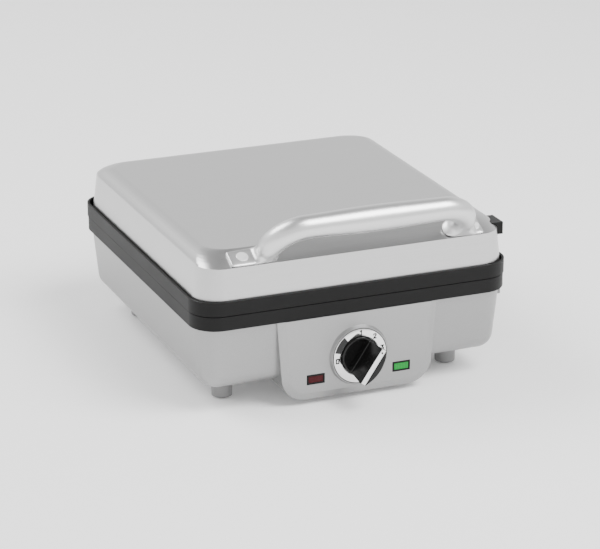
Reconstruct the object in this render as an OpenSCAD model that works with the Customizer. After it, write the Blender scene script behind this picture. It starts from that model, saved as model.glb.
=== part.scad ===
// Waffle maker with a hinged lid, removable grids and a front control panel.
// Millimetres. X runs to the right along the front, Y to the back, Z up.
// The frame's origin is on the table, under the middle of the whole outline.
// Inside the modules, z = 0 is the parting plane between the two rims and
// y = 0 is the middle of the rims; placed() moves that to the table frame.

/* [Rims] */
// Width across the rims
rim_w = 280; // [250:1:340]
// Depth across the rims
rim_d = 301.5; // [270:0.5:365]
// Corner radius of the rims
rim_r = 23.5; // [20:0.5:30]
// Distance that the lower rim stands inside the upper one
rim_step = 0.6; // [0.3:0.1:1]
// Height of each rim
rim_h = 12.2; // [11:0.2:15]
// Thickness of the rims' outer lip
rim_lip_t = 2; // [1.6:0.1:2.4]
// Thickness of the rims' deck
deck_t = 3; // [2.5:0.1:4]
// Thickness of the skirt around the grid opening
skirt_t = 2; // [1.5:0.1:2.5]
// Gap between the closed rims
part_gap = 0.8; // [0.6:0.1:1.5]
// Height of the parting plane above the table
part_z = 88.5; // [84:0.5:110]

/* [Lid] */
// Height of the lid's top above the parting plane
lid_top = 48.5; // [46:0.5:60]
// Height of the crease above the parting plane
lid_crease = 39; // [36:0.5:42]
// Sheet thickness of the lid
lid_t = 1.2; // [0.8:0.1:1.6]
// Inset of the lid's wall where it sits in its rim
lid_inset = 2.3; // [2.2:0.1:3]
// Lean of the side walls by the crease
side_lean = 4.4; // [2:0.1:6]
// Lean of the front wall by the crease
front_lean = 1.2; // [0.5:0.1:3]
// Lean of the back wall by the crease
back_lean = 4.8; // [2:0.1:6]
// Width of the round shoulder along the sides
side_shoulder = 15.4; // [12:0.2:20]
// Width of the round shoulder along the back
back_shoulder = 24.3; // [16:0.1:30]
// Width of the flat slope along the front
front_slope = 19.2; // [16:0.2:24]

/* [Base] */
// Depth of the base's floor below the parting plane
base_depth = 67.3; // [64:0.1:76]
// Wall thickness of the base
base_t = 2.5; // [2:0.1:3.5]
// Inset of the base's wall under the rim
base_inset = 4; // [3.5:0.1:5]
// Lean of the base's walls from the rim to the floor
base_lean = 5.6; // [3:0.1:8]
// Radius of the base's lower edge
base_edge_r = 13.5; // [8:0.5:15]
// Width of the service opening in the floor
hatch_w = 164; // [150:1:170]
// Depth of the service opening in the floor
hatch_d = 196; // [170:1:200]
// Overlap of the bottom cover around the service opening
hatch_lap = 7; // [6:0.5:8]
// Thickness of the bottom cover
hatch_t = 1.5; // [1:0.1:1.8]

/* [Feet] */
// Distance of the feet from the middle, sideways
foot_x = 102; // [100:0.5:106]
// Distance of the feet from the middle, front to back
foot_y = 101.5; // [90:0.5:110]
// Radius of a foot at the base
foot_r = 9.4; // [8:0.1:10]
// Radius of a foot at the bottom
foot_tip_r = 8.6; // [7:0.1:9]
// Radius of the rubber pads
pad_r = 6.4; // [4:0.1:6.8]
// Height of the rubber pads
pad_h = 3; // [2:0.5:4]
// Length of a pad that stands out of its foot
pad_proud = 1; // [0.5:0.1:1.5]

/* [Grids] */
// Width of a grid plate
plate_w = 248; // [200:1:250]
// Depth of a grid plate
plate_d = 262; // [240:1:264]
// Corner radius of a grid plate
plate_r = 12; // [8:0.5:16]
// Thickness of the plate's flange
plate_t = 4; // [3:0.1:5]
// Gap between each plate and the parting plane
plate_gap = 0.8; // [0.6:0.1:1.2]
// Gap between a plate and its rim
plate_fit = 1; // [0.6:0.1:1.4]
// Width of a plate's border at its sides
plate_side = 11.5; // [10.5:0.5:16]
// Width of a plate's border at its front and back
plate_end = 12.5; // [11:0.5:18]
// Width of the land between two waffles
land = 9; // [6:0.5:12]
// Depth of the pockets below the plate's face
pocket_h = 15; // [10:0.5:16]
// Thickness of the tub under the pockets
tub_t = 3.2; // [2.5:0.1:4]
// Posts along each side of a waffle
posts = 5; // [3:1:6]
// Width of a post at its foot
post_foot = 14.5; // [12:0.5:15]
// Width of a post at its tip
post_tip = 10.5; // [8:0.5:12]
// Height of a post
post_h = 12.4; // [8:0.1:13]

/* [Heating] */
// Radius of the heater's sheath
heater_r = 3.3; // [2.5:0.1:4]
// Half width of the heater's loop
heater_x = 82; // [60:1:90]
// Half depth of the heater's loop
heater_y = 88; // [60:1:95]
// Bend radius of the heater's loop
heater_bend = 30; // [20:1:40]
// Distance of the heater's legs from the middle
heater_leg_x = 16; // [12:1:30]
// Gap between the heater and the plate's tub
heater_gap = 0.6; // [0.4:0.1:1]
// Thickness of the reflector pans
pan_t = 0.9; // [0.6:0.1:1.2]
// Depth of the reflector pans below the plate's face
pan_h = 33; // [30:0.5:35]
// Gap between a pan and its plate's tub
pan_gap = 1.4; // [1:0.1:2]

/* [Control panel] */
// Half width of the panel at its top
panel_top_x = 71.2; // [66:0.2:90]
// Half width of the panel where its lower corners begin
panel_low_x = 67; // [60:0.2:72]
// Depth of the panel's lower edge below the parting plane
panel_low = 83.4; // [80:0.2:86]
// Radius of the panel's lower corners
panel_r = 21; // [16:0.5:24]
// Distance that the panel's face stands out past the rims' front
panel_proud = 0; // [-0.5:0.1:2]
// Width of the panel's sloped border
panel_border = 6.4; // [4:0.2:8]
// Depth of the panel's sloped border
panel_slope = 3; // [2:0.1:4]
// Length of the panel's box behind its face
panel_box = 33; // [28:0.5:40]
// Wall thickness of the panel
panel_t = 2.5; // [2:0.1:3]

/* [Knob and lamps] */
// Distance of the dial's axis to the left of the middle
dial_off = 0.3; // [0:0.1:3]
// Depth of the dial's axis below the parting plane
dial_z = 49.5; // [46:0.1:52]
// Outer radius of the dial ring
ring_r = 23.7; // [22:0.1:24]
// Thickness of the dial ring
ring_t = 1; // [0.8:0.1:1.5]
// Width of the collar's edge around the dial ring
collar_lip = 0.6; // [0.5:0.1:1]
// Spread of the collar from its front down to the panel
collar_flare = 1.5; // [0.5:0.1:2]
// Height of the collar in front of the panel's face
collar_h = 3; // [2:0.1:3.5]
// Radius of the knob's disc
knob_r = 16.3; // [15:0.1:20]
// Gap between the knob's disc and the dial ring
knob_gap = 0.7; // [0.5:0.1:1]
// Thickness of the knob's disc
knob_disc_h = 5; // [4:0.1:6]
// Height of the knob, from its disc's back to the grip's face
knob_h = 31; // [20:0.5:34]
// Length of the grip at its face
grip_l = 33.6; // [26:0.1:36]
// Width of the grip at its face
grip_w = 5; // [4.6:0.1:7]
// Width of the grip at the disc
grip_root_w = 8.2; // [7:0.1:12]
// Swell of the grip's right side in the middle of its length
grip_swell = 5.4; // [2:0.1:7]
// Angle of the pointer at rest, clockwise from the top
knob_rest = 34; // [0:1:90]
// Radius of the thermostat's shaft
shaft_r = 3; // [2.5:0.1:3.5]
// Running clearance around turning shafts and pins
run_fit = 0.06; // [0.03:0.01:0.09]
// Distance of the lamps from the middle
lamp_x = 38.3; // [34:0.1:42]
// Depth of the lamps below the parting plane
lamp_z = 65.4; // [62:0.1:68]
// Width of a lamp's window with its frame
lamp_w = 15.8; // [12:0.1:18]
// Height of a lamp's window with its frame
lamp_h = 8.6; // [7:0.1:10]
// Width of a lamp's black frame
lamp_frame = 1.4; // [0.8:0.1:1.8]

/* [Handle] */
// Distance of the lugs' middle to the right of the lid's middle
lug_off = 2; // [0:0.5:6]
// Distance of the rivets' middle to the right of the lid's middle
rivet_off = 4.5; // [0:0.5:6]
// Distance of the grip's middle to the right of the lid's middle
grip_off = 8; // [0:0.5:9]
// Distance of the grip's axis in front of the rims
grip_reach = 9.8; // [2:0.1:14]
// Height of the grip's axis above the lid's top
grip_rise = 22; // [18:0.1:26]
// Radius of the grip in its middle
grip_r = 11; // [10:0.1:12]
// Radius of the grip at its elbows
elbow_bar_r = 9.8; // [9:0.1:10]
// Radius of a leg at its lug
leg_foot_r = 7.4; // [7:0.1:8.4]
// Half length of the straight part of the grip
grip_half = 58; // [40:0.5:60]
// Bend radius of the handle's elbows
elbow_r = 27.5; // [22:0.5:28]
// Inner end of a lug, from the lugs' middle
lug_in = 74; // [70:0.5:76]
// Outer end of a lug, from the lugs' middle
lug_out = 111; // [108:0.5:112]
// Thickness of a lug
lug_t = 2.4; // [2:0.1:4]
// Width of a lug along the front slope
lug_w = 17.2; // [15:0.2:17.6]
// Distance of the lugs' middle line below the slope's middle line
lug_drop = 1.8; // [1:0.1:2]
// Distance of a rivet from the rivets' middle
rivet_x = 102.4; // [100:0.2:104]
// Radius of a rivet's head
rivet_r = 5; // [4:0.1:5.6]
// Radius of a rivet's shank
rivet_shank_r = 2.4; // [2:0.1:3]

/* [Hinge] */
// Distance of a hinge from the middle
hinge_x = 92; // [60:1:100]
// Radius of the knuckles
knuckle_r = 6.5; // [6:0.1:7]
// Gap between the knuckles and the rims
knuckle_gap = 0.75; // [0.6:0.05:1]
// Radius of the hinge pins
pin_r = 2.5; // [2:0.1:3]
// Width of the lid's knuckle
lid_knuckle_w = 18; // [14:0.5:24]
// Width of each of the base's knuckles
base_knuckle_w = 10; // [8:0.5:14]
// Side gap between knuckles
knuckle_side_gap = 0.4; // [0.3:0.1:0.6]
// Thickness of the hinge plates
leaf_t = 3; // [2.5:0.1:3.5]

/* [Plate releases] */
// Distance of the lever's pivot in front of the middle
pivot_y = 108; // [104:0.5:110]
// Length of a button along the side
button_l = 20; // [16:0.5:21]
// Height of the upper button
up_button_h = 10.5; // [8:0.1:11]
// Height of the upper button's middle above the parting plane
up_button_z = 37; // [36:0.1:38]
// Height of the lower button
low_button_h = 7; // [6:0.1:8]
// Depth of the lower button's middle below the parting plane
low_button_z = 17.5; // [17:0.1:18]
// Distance that the buttons' faces stand inside the rim's edge
up_button_inset = 2.4; // [2:0.1:3]
// Distance that the lower button's face stands inside the rim's edge
low_button_inset = 3.4; // [3:0.1:3.6]
// Gap around a button in its window
button_fit = 1; // [0.8:0.1:1.5]
// Distance from the pivot to the latch
latch_arm = 23; // [20:0.5:25]
// Overlap of the latch on the plate's step
latch_bite = 2.4; // [2:0.1:2.6]

/* [Cord inlet] */
// Distance of the cord gland to the right of the middle
gland_x = 52; // [40:1:60]
// Depth of the cord gland's axis below the parting plane
gland_z = 48; // [44:0.5:52]
// Radius of the cord's hole
gland_hole_r = 3.6; // [3:0.1:4.5]
// Radius of the gland's outer collar
gland_r = 8; // [7:0.1:9]

/* [Hidden] */
$fn = 64;
eps = 0.01;
big = 500;

// Middle of the whole outline, front to back
hinge_y = rim_d / 2 + knuckle_gap + knuckle_r;
panel_face = rim_d / 2 + panel_proud;
knob_back = panel_face - 0.5;
front_reach = knob_back + knob_h;
back_reach = hinge_y + knuckle_r;
band_y = (front_reach - back_reach) / 2;

// Rims, seen from the parting plane
rim_face = part_gap / 2;
deck_far = rim_face + deck_t;
skirt_w = plate_w + 2 * plate_fit;
skirt_d = plate_d + 2 * plate_fit;
skirt_r = plate_r + plate_fit;
skirt_far = plate_gap + plate_t;

// Lid outline
lid_seat = deck_far;
lid_half_w = rim_w / 2 - lid_inset;
lid_half_d = rim_d / 2 - lid_inset;
lid_r = rim_r - lid_inset;
drop = lid_top - lid_crease;

// Slope at the lid's front, where the handle's lugs lie
slope_y0 = -(lid_half_d - front_lean);
slope_z0 = lid_crease;
slope_a = atan2(drop, front_slope);
lug_mid = norm([front_slope, drop]) / 2 - lug_drop;
grip_y = rim_d / 2 + grip_reach;
grip_z = lid_top + grip_rise;

// Grids
plate_face = plate_gap;
flange_far = plate_face + plate_t;
waffle_w = (plate_w - land) / 2 - plate_side;
waffle_d = (plate_d - land) / 2 - plate_end;
waffle_sx = (waffle_w + land) / 2;
waffle_sy = (waffle_d + land) / 2;
post_pitch_x = waffle_w / posts;
post_pitch_y = waffle_d / posts;
tub_w = 2 * waffle_w + land + 2 * tub_t;
tub_d = 2 * waffle_d + land + 2 * tub_t;
tub_far = plate_face + pocket_h + tub_t;
step_h = 1.8;
step_face = plate_face + step_h;

// Heaters and pans
heater_z = tub_far + heater_gap + heater_r;
pan_far = plate_face + pan_h;
pan_w = tub_w + 2 * pan_gap;
pan_d = tub_d + 2 * pan_gap;
leg_end = pan_far + 10;
leg_y = heater_y;
bush_r = 6;
bush_h = 4;

// Releases
latch_x = plate_w / 2 - latch_bite;
latch_w = 10;
latch_t = 1.4;
latch_gap = 0.2;
latch_face = step_face - latch_gap;
latch_post_x = plate_w / 2 + plate_fit + 0.6;
latch_post_t = 2.8;
lever_x = latch_post_x + 1.4;
lever_t = 5;
lever_h = 6.5;
hub_r = 2.8;
pivot_x = lever_x + lever_t / 2;
pivot_r = 1.6;
pivot_boss_r = 3;
button_y = pivot_y + 6 + button_l / 2;
latch_y = pivot_y - latch_arm;
latch_slot = latch_w + 2;
latch_swing = 4.2;

// Plate clips
clip_y = 70;
clip_w = 12;
clip_t = 1.2;
clip_l = 14;
clip_gap = 0.3;
clip_x = plate_w / 2 - latch_bite;
clip_pocket = step_face - clip_gap;

// Moves the parting-plane frame to the table frame
module placed() translate([0, band_y, part_z]) children();

// Builds a lower part and turns it into the matching upper one
module upside() mirror([0, 0, 1]) children();

// Rounded rectangle in the XY plane
module round_rect(w, d, r) {
    square([w - 2 * r, d], center = true);
    square([w, d - 2 * r], center = true);
    for (sx = [-1, 1], sy = [-1, 1])
        translate([sx * (w / 2 - r), sy * (d / 2 - r)]) circle(r);
}

// Rounded slab from z0 to z1
module slab(w, d, r, z0, z1)
    translate([0, 0, min(z0, z1)]) linear_extrude(abs(z1 - z0)) round_rect(w, d, r);

// Box from one corner to the other
module box(a, b) translate(a) cube(b - a);

// Cylinder along X, from x0 to x1
module bar_x(r, x0, x1) translate([x0, 0, 0]) rotate([0, 90, 0]) cylinder(r = r, h = x1 - x0);

// Cylinder along Y, from y0 to y1
module bar_y(r, y0, y1) translate([0, y1, 0]) rotate([90, 0, 0]) cylinder(r = r, h = y1 - y0);

// Profile in the XZ plane, drawn out along Y
module along_y(len) rotate([90, 0, 0]) linear_extrude(len, center = true) children();

// Profile in the YZ plane, drawn out along X
module along_x(len) rotate([90, 0, 90]) linear_extrude(len, center = true) children();

// ---- Lid ----

// Steps along each rounded edge of the sheet parts
edge_steps = 10;

// Round shoulder that starts flat at [x0, top] and falls by drop over run
function shoulder(x0, top, run) =
    let (r = (run * run + drop * drop) / (2 * drop), a = 2 * atan2(drop, run) / edge_steps)
    [for (i = [0:edge_steps]) [x0 + r * sin(a * i), top - r * (1 - cos(a * i))]];

function turned(points) = [for (i = [len(points) - 1:-1:0]) points[i]];
function left_of(points) = [for (p = turned(points)) [-p[0], p[1]]];

// Right half of the lid seen from one end; t is how far it is drawn in
function lid_half(half, lean, run, t) =
    concat([[half - t, lid_seat]], turned(shoulder(half - lean - run - t, lid_top - t, run)));

module lid_front_profile(t) {
    right = lid_half(lid_half_w, side_lean, side_shoulder, t);
    polygon(concat(right, left_of(right)));
}

module lid_side_profile(t) polygon(concat(
    lid_half(lid_half_d, back_lean, back_shoulder, t),
    [[slope_y0 + t + front_slope, lid_top - t], [slope_y0 + t, lid_crease - t]],
    [[-(lid_half_d - t), lid_seat]]
));

module lid_form(t) intersection() {
    along_y(big) lid_front_profile(t);
    along_x(big) lid_side_profile(t);
    slab(2 * (lid_half_w - t), 2 * (lid_half_d - t), lid_r - t, 0, lid_top);
}

// Places children on the lid's front slope, z along its outward normal
module on_slope(x)
    translate([x, slope_y0, slope_z0]) rotate([slope_a, 0, 0]) translate([0, lug_mid, 0]) children();

module rivet_holes() for (s = [-1, 1])
    on_slope(rivet_off + s * rivet_x) cylinder(r = rivet_shank_r + run_fit, h = 30, center = true);

module button_window(face_x, z, h) {
    y0 = -button_y - button_l / 2 - button_fit;
    y1 = -button_y + button_l / 2 + button_fit;
    box([face_x - 14, y0, z - h / 2 - button_fit], [face_x + 20, y1, z + h / 2 + button_fit]);
}

module lid_cover() color("silver") placed() difference() {
    lid_form(0);
    lid_form(lid_t);
    slab(2 * (lid_half_w - lid_t), 2 * (lid_half_d - lid_t), lid_r - lid_t, lid_seat - 1, lid_seat + lid_t);
    rivet_holes();
    button_window(rim_w / 2, up_button_z, up_button_h);
}

// ---- Rims ----

// The lower rim; the upper one is the same turned over, with step = 0
module rim_body(step) difference() {
    union() {
        difference() {
            slab(rim_w - 2 * step, rim_d - 2 * step, rim_r - step, -rim_h, -rim_face);
            slab(rim_w - 2 * rim_lip_t, rim_d - 2 * rim_lip_t, rim_r - rim_lip_t, -big, -deck_far);
        }
        slab(skirt_w + 2 * skirt_t, skirt_d + 2 * skirt_t, skirt_r + skirt_t, -skirt_far, -deck_far);
    }
    slab(skirt_w, skirt_d, skirt_r, -big, big);
    // pockets for the fixed clips on the left
    for (s = [-1, 1])
        box([-clip_x - clip_l - clip_gap, s * clip_y - clip_w / 2 - clip_gap, -clip_pocket],
            [-clip_x, s * clip_y + clip_w / 2 + clip_gap, 1]);
    for (s = [-1, 1])
        translate([-clip_x - clip_l + 5, s * clip_y, -big / 2]) cylinder(r = 1.3, h = big);
    // slot for the sprung latch on the right
    box([latch_x, -latch_y - latch_slot / 2, -big],
        [latch_post_x + latch_post_t + latch_swing, -latch_y + latch_slot / 2, 1]);
    translate([pivot_x, -pivot_y, -big / 2]) cylinder(r = pivot_r, h = big);
}

// Hollow post that carries a release lever's pin
module pivot_post(far) difference() {
    translate([pivot_x, -pivot_y, -far]) cylinder(r = pivot_boss_r, h = far - deck_far);
    translate([pivot_x, -pivot_y, -far - 1]) cylinder(r = pivot_r, h = far);
}

low_lever_near = low_button_z - lever_h / 2;
low_lever_far = low_button_z + lever_h / 2;
up_lever_near = up_button_z - 10;
up_lever_far = up_lever_near + lever_h;
lever_gap = 0.3;

module base_rim() color([0.16, 0.16, 0.17]) placed() {
    rim_body(rim_step);
    pivot_post(low_lever_near - lever_gap);
}

module lid_rim() color([0.16, 0.16, 0.17]) placed() upside() {
    rim_body(0);
    pivot_post(up_lever_near - lever_gap);
}

// ---- Base ----

// Inset of the base's outer wall at a depth below the parting plane
function base_wall_inset(z) = base_inset + base_lean * (z - rim_h) / (base_depth - rim_h);
lean_a = atan2(base_lean, base_depth - rim_h);
base_lip = base_wall_inset(deck_far);

// Right half of the base seen from one end; t is how far it is drawn in
function base_half(half, t) =
    let (
        r = base_edge_r - t,
        x = half - t - base_wall_inset(base_depth - base_edge_r) - r / cos(lean_a),
        z = r + t - base_depth
    )
    concat(
        [[half - t - base_lip, -deck_far]],
        [for (i = [0:edge_steps]) let (a = lean_a + (90 - lean_a) * i / edge_steps)
            [x + r * cos(a), z - r * sin(a)]]
    );

module base_profile(half, t) polygon(concat(base_half(half, t), left_of(base_half(half, t))));

module base_form(t) {
    straight_w = rim_w - 2 * rim_r;
    straight_d = rim_d - 2 * rim_r;
    along_y(straight_d) base_profile(rim_w / 2, t);
    along_x(straight_w) base_profile(rim_d / 2, t);
    for (sx = [-1, 1], sy = [-1, 1]) translate([sx * straight_w / 2, sy * straight_d / 2, 0])
        rotate_extrude() polygon(concat([[0, -deck_far]], base_half(rim_r, t), [[0, t - base_depth]]));
}

cover_w = hatch_w + 2 * hatch_lap;
cover_d = hatch_d + 2 * hatch_lap;
cover_gap = 0.3;
screw_x = hatch_w / 2 + hatch_lap / 2;
screw_y = hatch_d / 2 - 10;
screw_r = 1.5;
screw_head_r = 2.8;
screw_fit = 0.05;

module cover_screw_places() for (sx = [-1, 1], y = [-screw_y, 0, screw_y])
    translate([sx * screw_x, y, -base_depth]) children();

// Opening behind the control panel
behind_x = 44;
behind_top = 26;
behind_low = base_depth - 4;
inner_w = rim_w - 2 * (base_lip + base_t);
inner_d = rim_d - 2 * (base_lip + base_t);

module base_housing() color("silver") placed() difference() {
    base_form(0);
    base_form(base_t);
    slab(inner_w, inner_d, rim_r - base_lip - base_t, -deck_far - 1, 1);
    slab(hatch_w, hatch_d, 6, -big, -base_depth + base_t + 1);
    slab(cover_w + cover_gap, cover_d + cover_gap, 10, -big, -base_depth + hatch_t);
    cover_screw_places() cylinder(r = screw_r + screw_fit, h = 10, center = true);
    box([-behind_x, -rim_d / 2, -behind_low], [behind_x, -rim_d / 2 + 22, -behind_top]);
    button_window(rim_w / 2, -low_button_z, low_button_h);
    translate([gland_x, 0, -gland_z]) bar_y(gland_r - 2, rim_d / 2 - 22, rim_d / 2 + 5);
}

module base_cover() color([0.3, 0.3, 0.32]) placed() difference() {
    slab(cover_w, cover_d, 10 - cover_gap / 2, -base_depth, -base_depth + hatch_t);
    for (y = [-60:15:60]) slab_slot(y);
    cover_screw_places() cylinder(r = screw_r + screw_fit, h = 10, center = true);
}

// One cooling slot in the bottom cover
slot_l = 90;
slot_w = 4;
module slab_slot(y) translate([0, y, -base_depth - 1]) linear_extrude(hatch_t + 2) {
    square([slot_l, slot_w], center = true);
    for (s = [-1, 1]) translate([s * slot_l / 2, 0]) circle(slot_w / 2);
}

module cover_screws() color([0.5, 0.5, 0.52]) placed() cover_screw_places() {
    translate([0, 0, -0.8]) cylinder(r = screw_head_r, h = 0.8);
    cylinder(r = screw_r, h = 7);
}

module foot_places() for (sx = [-1, 1], sy = [-1, 1])
    translate([sx * foot_x, sy * foot_y, 0]) children();

module feet() color([0.62, 0.62, 0.63]) placed() foot_places() difference() {
    translate([0, 0, -part_z + pad_proud])
        cylinder(r1 = foot_tip_r, r2 = foot_r, h = part_z - pad_proud - base_depth);
    translate([0, 0, -part_z]) cylinder(r = pad_r, h = pad_h);
}

module foot_pads() color([0.3, 0.3, 0.3]) placed() foot_places()
    translate([0, 0, -part_z]) cylinder(r = pad_r, h = pad_h);

// ---- Control panel ----

panel_back = panel_face - panel_box;

// Panel outline seen from the front, drawn in by t
module panel_outline(t) {
    r = panel_r - t;
    x = panel_low_x - panel_r;
    z = panel_r - panel_low;
    for (s = [-1, 1]) translate([s * x, z]) circle(r);
    polygon([
        [t - panel_top_x, -rim_h], [panel_top_x - t, -rim_h], [x + r, z],
        [x, z], [x, z - r], [-x, z - r], [-x, z], [-x - r, z]
    ]);
}

module panel_solid(t, front, back) translate([0, -(front + back) / 2, 0])
    along_y(front - back) panel_outline(t);

module at_dial() translate([-dial_off, 0, -dial_z]) children();

module lamp_places() for (s = [-1, 1]) translate([s * lamp_x, 0, -lamp_z]) children();

module lamp_window(w, h, y0, y1) box([-w / 2, -y0, -h / 2], [w / 2, -y1, h / 2]);

bush_neck_r = 5;
bush_fit = 0.1;
ring_hole_r = knob_r + knob_gap;
well_r = ring_hole_r + 0.3;
well_h = 1.2;
seat_r = ring_r + 0.3;
collar_front_r = seat_r + collar_lip;
collar_r = collar_front_r + collar_flare;
ring_back = panel_face + collar_h + 0.2 - ring_t;

// Raised collar around the knob, as a cone that starts inside the panel
module dial_collar() at_dial() translate([0, 1 - panel_face, 0]) rotate([90, 0, 0]) {
    slope = (collar_r - collar_front_r) / collar_h;
    cylinder(r1 = collar_r + slope, r2 = collar_front_r, h = collar_h + 1);
}

module control_panel() color([0.72, 0.72, 0.73]) placed() difference() {
    union() {
        panel_solid(0, panel_face - panel_slope, panel_back);
        hull() {
            panel_solid(panel_border, panel_face, panel_face - 0.1);
            panel_solid(0, panel_face - panel_slope + 0.1, panel_face - panel_slope);
        }
        dial_collar();
    }
    base_form(0);
    panel_solid(panel_t, panel_face - panel_slope - panel_t, panel_back + panel_t);
    at_dial() {
        bar_y(well_r, -panel_face - big, -panel_face + well_h);
        bar_y(seat_r, -panel_face - big, -ring_back);
        bar_y(bush_neck_r + bush_fit, -panel_face - 1, -panel_face + 10);
    }
    lamp_places() lamp_window(lamp_w + 0.2, lamp_h + 0.2, panel_face + 1, panel_face - 10);
}

module dial_ring() color([0.85, 0.85, 0.86]) placed() at_dial() difference() {
    bar_y(ring_r, -ring_back - ring_t, -ring_back);
    bar_y(ring_hole_r, -ring_back - ring_t - 1, -ring_back + 1);
}

lamp_proud = 0.4;
bulb_r = 2.2;

module lamp_frames() color([0.1, 0.1, 0.1]) placed() lamp_places() difference() {
    lamp_window(lamp_w, lamp_h, panel_face + lamp_proud, panel_face - panel_slope - panel_t - 2);
    lamp_window(lamp_w - 2 * lamp_frame, lamp_h - 2 * lamp_frame, panel_face + 2, panel_face - big);
}

module lamp_lens(s) placed() translate([s * lamp_x, 0, -lamp_z])
    lamp_window(lamp_w - 2 * lamp_frame, lamp_h - 2 * lamp_frame, panel_face + 0.1, panel_face - 4);

module lamp_lens_red() color([0.45, 0.12, 0.14]) lamp_lens(-1);
module lamp_lens_green() color([0.3, 0.7, 0.35]) lamp_lens(1);

module lamp_bulbs() color([0.9, 0.6, 0.3]) placed() lamp_places() {
    bar_y(bulb_r, -panel_face + 4, -panel_face + 9);
    box([-bulb_r, -panel_face + 9, -bulb_r], [bulb_r, -panel_face + 10.4, bulb_r]);
}

// ---- Thermostat and knob ----

thermo_w = 38;
thermo_h = 26;
thermo_front = panel_face - 8;
thermo_back = panel_face - 26;
shaft_front = knob_back + 14;
shaft_back = thermo_front - 12;

module thermostat() color([0.75, 0.73, 0.68]) placed() at_dial() difference() {
    union() {
        box([-thermo_w / 2, -thermo_front, -thermo_h / 2], [thermo_w / 2, -thermo_back, thermo_h / 2]);
        bar_y(bush_neck_r, -knob_back + 0.3, -thermo_front);
    }
    bar_y(shaft_r + run_fit, -panel_face - 5, -shaft_back + 0.5);
}

module thermostat_shaft() color([0.8, 0.8, 0.8]) placed() at_dial()
    bar_y(shaft_r, -shaft_front, -shaft_back);

// Rounded right-hand side of the grip, as a slice of a wide cylinder
swell_r = (pow(grip_l / 2, 2) + pow(grip_swell, 2)) / (2 * grip_swell);
swell_back = 1;
module knob_swell() intersection() {
    translate([grip_w / 2 + grip_swell - swell_r, 0, 0])
        bar_y(swell_r, -knob_back - knob_h + swell_back, -knob_back - 1);
    box([0, -knob_back - big, -knob_r + 1.6], [big, 0, knob_r - 1.6]);
}

// Grip of the knob as a tapered blade, drawn with its length along Z
module knob_blade() hull() {
    box([-grip_w / 2, -knob_back - knob_h, -grip_l / 2],
        [grip_w / 2, -knob_back - knob_h + 1, grip_l / 2]);
    box([-grip_root_w / 2, -knob_back - knob_disc_h, -knob_r + 2],
        [grip_root_w / 2, -knob_back - knob_disc_h + 1, knob_r - 2]);
}

inlay_w = grip_w - 0.8;
inlay_h = 0.8;

module at_pointer() at_dial() rotate([0, knob_rest, 0]) children();

module inlay_space(grow) box(
    [-inlay_w / 2 - grow, -knob_back - knob_h, -grip_l / 2 - grow],
    [inlay_w / 2 + grow, -knob_back - knob_h + inlay_h + grow, grip_l / 2 + grow]);

module knob() color([0.07, 0.07, 0.07]) placed() at_pointer() difference() {
    union() {
        knob_blade();
        knob_swell();
        bar_y(knob_r, -knob_back - knob_disc_h, -knob_back);
    }
    inlay_space(0.02);
    bar_y(shaft_r, -shaft_front, -knob_back + 1);
}

module knob_inlay() color([0.85, 0.85, 0.86]) placed() at_pointer() inlay_space(0);

// ---- Grids ----

// Row of tapered ridges along one direction, as a profile
module ridges(pitch) for (i = [0:posts - 1])
    translate([(i - (posts - 1) / 2) * pitch, -plate_face - pocket_h]) polygon([
        [-post_foot / 2, -0.5], [post_foot / 2, -0.5], [post_tip / 2, post_h], [-post_tip / 2, post_h]
    ]);

module post_field() intersection() {
    along_y(waffle_d) ridges(post_pitch_x);
    along_x(waffle_w) ridges(post_pitch_y);
}

module waffle_places() for (sx = [-1, 1], sy = [-1, 1])
    translate([sx * waffle_sx, sy * waffle_sy, 0]) children();

// Lower grid; the upper one is the same turned over
module plate_body() difference() {
    union() {
        slab(plate_w, plate_d, plate_r, -flange_far, -plate_face);
        slab(tub_w, tub_d, 6, -tub_far, -flange_far);
    }
    waffle_places() difference() {
        slab(waffle_w, waffle_d, 4, -plate_face - pocket_h, 0);
        post_field();
    }
    // steps for the two clips and the latch
    for (s = [-1, 1])
        box([-big, s * clip_y - clip_w / 2 - 1, -step_face], [-clip_x + 0.6, s * clip_y + clip_w / 2 + 1, 0]);
    box([latch_x - 0.6, -latch_y - latch_slot / 2, -step_face], [big, -latch_y + latch_slot / 2, 0]);
}

module lower_plate() color([0.2, 0.2, 0.21]) placed() plate_body();
module upper_plate() color([0.2, 0.2, 0.21]) placed() upside() plate_body();

// ---- Reflector pans and heaters ----

module leg_places() for (s = [-1, 1]) translate([s * heater_leg_x, leg_y, 0]) children();

pan_flange_w = skirt_w + skirt_t;
pan_flange_d = skirt_d + skirt_t;

module pan_body() difference() {
    union() {
        slab(pan_flange_w, pan_flange_d, skirt_r, -skirt_far - pan_t, -skirt_far);
        slab(pan_w + 2 * pan_t, pan_d + 2 * pan_t, 8, -pan_far, -skirt_far);
    }
    slab(pan_w, pan_d, 7, -pan_far + pan_t, 1);
    leg_places() translate([0, 0, -big / 2]) cylinder(r = bush_r - 1.5, h = big);
    // clearance for the latch and the clips' screws
    box([latch_x - 1, -latch_y - latch_slot / 2, -skirt_far - 2], [big, -latch_y + latch_slot / 2, 0]);
}

module lower_pan() color([0.7, 0.7, 0.7]) placed() pan_body();
module upper_pan() color([0.7, 0.7, 0.7]) placed() upside() pan_body();

// Quarter bend of the heater in the XY plane, centred at [x, y], starting at angle a
module heater_corner(x, y, a) translate([x, y, -heater_z]) rotate([0, 0, a])
    rotate_extrude(angle = 90) translate([heater_bend, 0]) circle(heater_r, $fn = 32);

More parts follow.
